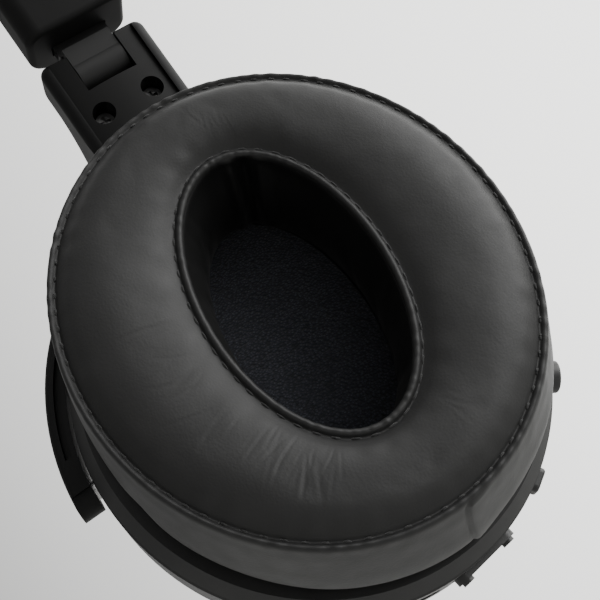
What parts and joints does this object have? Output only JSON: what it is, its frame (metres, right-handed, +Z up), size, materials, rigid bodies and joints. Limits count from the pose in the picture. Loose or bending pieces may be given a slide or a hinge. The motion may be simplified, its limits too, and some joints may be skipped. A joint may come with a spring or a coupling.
{
  "type": "over ear headphones",
  "caption": "Closed over-ear wireless headphones with oval padded ear cushions, C-shaped yokes, fold hinges and sliding arms on a padded headband.",
  "frame": {"origin": "middle of the wearer's head, half way between the two ear cups at the height of their tilt pivots", "axes": "+X towards the wearer's right, along the line through both ear cups; +Y towards the front; +Z up to the headband"},
  "size_m": [0.246, 0.107, 0.2089],
  "materials": {
    "matte_black_plastic": "moulded, fine spark-eroded texture",
    "satin_grey_plastic": "satin, fine grain",
    "soft_touch_plastic": "soft-touch paint",
    "slider_plastic": "smooth, semi-gloss",
    "knuckle_plastic": "moulded, glass-filled",
    "button_plastic": "satin",
    "protein_leather": "soft, fine-grained, low sheen",
    "band_leather": "fine-grained",
    "speaker_cloth": "fine knit",
    "steel": "plain",
    "black_screw": "blackened",
    "magnet": "plated",
    "film": "thin polymer film",
    "circuit_board": "solder mask",
    "battery_wrap": "foil pouch",
    "port_metal": "dark nickel"
  },
  "bodies": {
    "headband": {"headband_shell": "soft_touch_plastic", "headband_liner": "matte_black_plastic", "headband_pad": "band_leather", "spring_band": "steel", "end_cap_right": "soft_touch_plastic", "end_cap_left": "soft_touch_plastic", "slider_guide_right": "matte_black_plastic", "slider_guide_left": "matte_black_plastic"},
    "arm_right": {"slider_arm_right": "slider_plastic", "hinge_knuckle_right": "knuckle_plastic"},
    "yoke_right": {"yoke_shell_right": "satin_grey_plastic", "yoke_cover_right": "satin_grey_plastic", "yoke_screws_right": "black_screw", "hinge_pin_right": "steel", "pivot_pins_right": "steel"},
    "cup_right": {"cup_housing_right": "matte_black_plastic", "outer_cover_right": "soft_touch_plastic", "cushion_ring_right": "matte_black_plastic", "ear_cushion_right": "protein_leather", "speaker_cloth_right": "speaker_cloth", "baffle_right": "matte_black_plastic", "baffle_screws_right": "steel", "driver_frame_right": "matte_black_plastic", "driver_magnet_right": "magnet", "driver_diaphragm_right": "film", "circuit_board": "circuit_board", "usb_c_port": "port_metal", "aux_jack": "port_metal"},
    "arm_left": {"slider_arm_left": "slider_plastic", "hinge_knuckle_left": "knuckle_plastic"},
    "yoke_left": {"yoke_shell_left": "satin_grey_plastic", "yoke_cover_left": "satin_grey_plastic", "yoke_screws_left": "black_screw", "hinge_pin_left": "steel", "pivot_pins_left": "steel"},
    "cup_left": {"cup_housing_left": "matte_black_plastic", "outer_cover_left": "soft_touch_plastic", "cushion_ring_left": "matte_black_plastic", "ear_cushion_left": "protein_leather", "speaker_cloth_left": "speaker_cloth", "baffle_left": "matte_black_plastic", "baffle_screws_left": "steel", "driver_frame_left": "matte_black_plastic", "driver_magnet_left": "magnet", "driver_diaphragm_left": "film", "battery": "battery_wrap"},
    "mode_button": {"mode_button": "button_plastic"},
    "power_button": {"power_button": "button_plastic"},
    "volume_rocker": {"volume_rocker": "button_plastic"}
  },
  "joints": [
    {"name": "slide_right", "type": "slide", "parent": "headband", "child": "arm_right", "axis": [0.2419, 0, -0.9703], "range_m": [0, 0.02]},
    {"name": "fold_right", "type": "hinge", "parent": "arm_right", "child": "yoke_right", "pos_m": [0.0872, -0.0013, 0.0734], "axis": [0, 1, 0], "range_deg": [0, 90]},
    {"name": "tilt_right", "type": "hinge", "parent": "yoke_right", "child": "cup_right", "pos_m": [0.1072, 0, 0], "axis": [0, 1, 0], "range_deg": [-7, 7]},
    {"name": "slide_left", "type": "slide", "parent": "headband", "child": "arm_left", "axis": [-0.2419, 0, -0.9703], "range_m": [0, 0.02]},
    {"name": "fold_left", "type": "hinge", "parent": "arm_left", "child": "yoke_left", "pos_m": [-0.0872, -0.0013, 0.0734], "axis": [0, 1, 0], "range_deg": [-90, 0]},
    {"name": "tilt_left", "type": "hinge", "parent": "yoke_left", "child": "cup_left", "pos_m": [-0.1072, 0, 0], "axis": [0, 1, 0], "range_deg": [-7, 7]},
    {"name": "mode_button_press", "type": "slide", "parent": "cup_right", "child": "mode_button", "axis": [0, 0.8142, 0.5806], "range_m": [0, 0.0006], "stiffness_N_per_m": 400},
    {"name": "power_button_press", "type": "slide", "parent": "cup_right", "child": "power_button", "axis": [0, 0.4727, 0.8812], "range_m": [0, 0.0006], "stiffness_N_per_m": 400},
    {"name": "volume_rock", "type": "hinge", "parent": "cup_right", "child": "volume_rocker", "pos_m": [0.107, -0.00426, -0.054], "axis": [1, 0, 0], "range_deg": [-3, 3], "stiffness_Nm_per_rad": 0.02}
  ]
}
